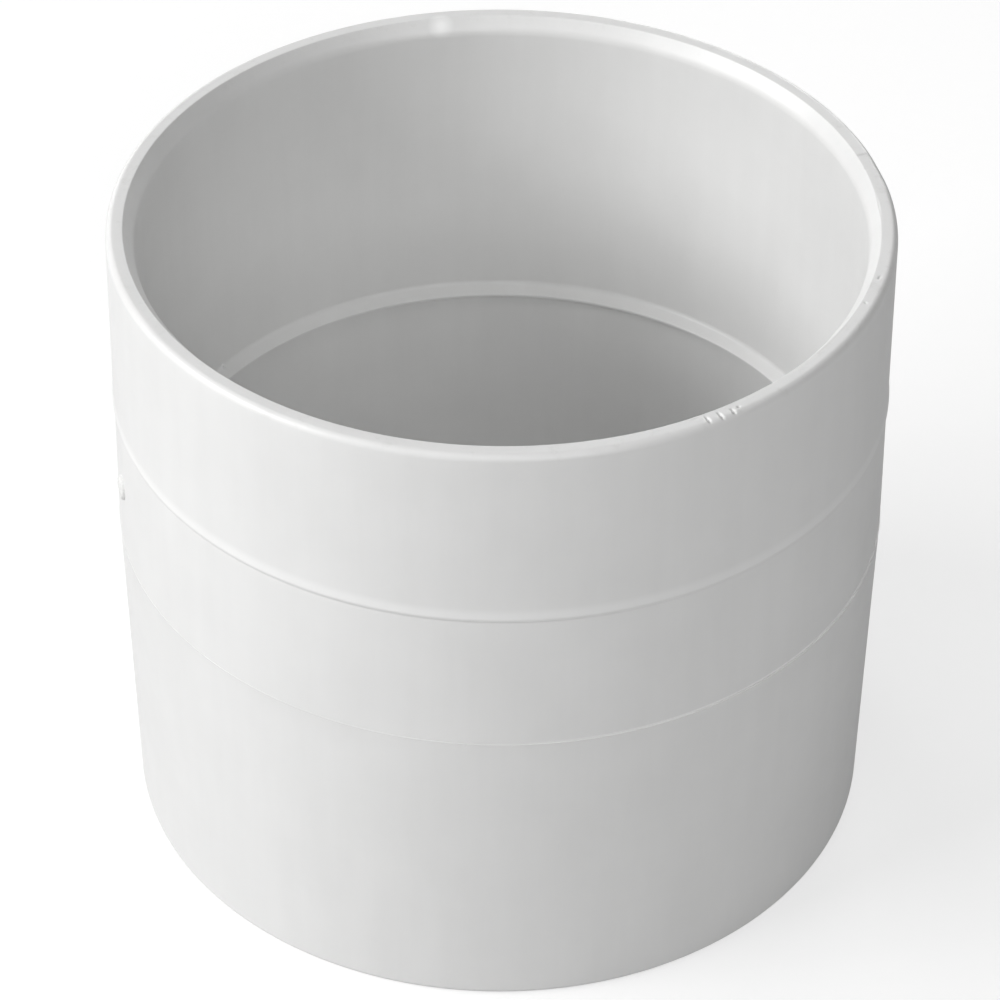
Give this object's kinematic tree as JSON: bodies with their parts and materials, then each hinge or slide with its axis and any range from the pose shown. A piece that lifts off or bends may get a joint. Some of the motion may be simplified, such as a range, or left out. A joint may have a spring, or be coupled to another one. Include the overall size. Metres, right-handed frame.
{
  "type": "pipe coupling",
  "caption": "Plain straight coupling for thin-walled drain pipe: a smooth bevelled socket at each end, a low pipe stop ring between them, and a broken-off gate on the outside.",
  "frame": {"origin": "on the coupling's axis, at the face of the lower mouth that it stands on", "axes": "+Z along the pipe axis, towards the upper mouth; the broken-off gate is near -X, a little towards -Y"},
  "size_m": [0.1174, 0.1174, 0.1032],
  "materials": {
    "white_pvc": "satin injection-moulded rigid PVC",
    "broken_pvc": "rough, torn where the runner broke away"
  },
  "bodies": {
    "root": {"upper_socket": "white_pvc", "centre_band": "white_pvc", "lower_socket": "white_pvc", "pipe_stop": "white_pvc", "gate_vestige": "broken_pvc"}
  },
  "joints": []
}
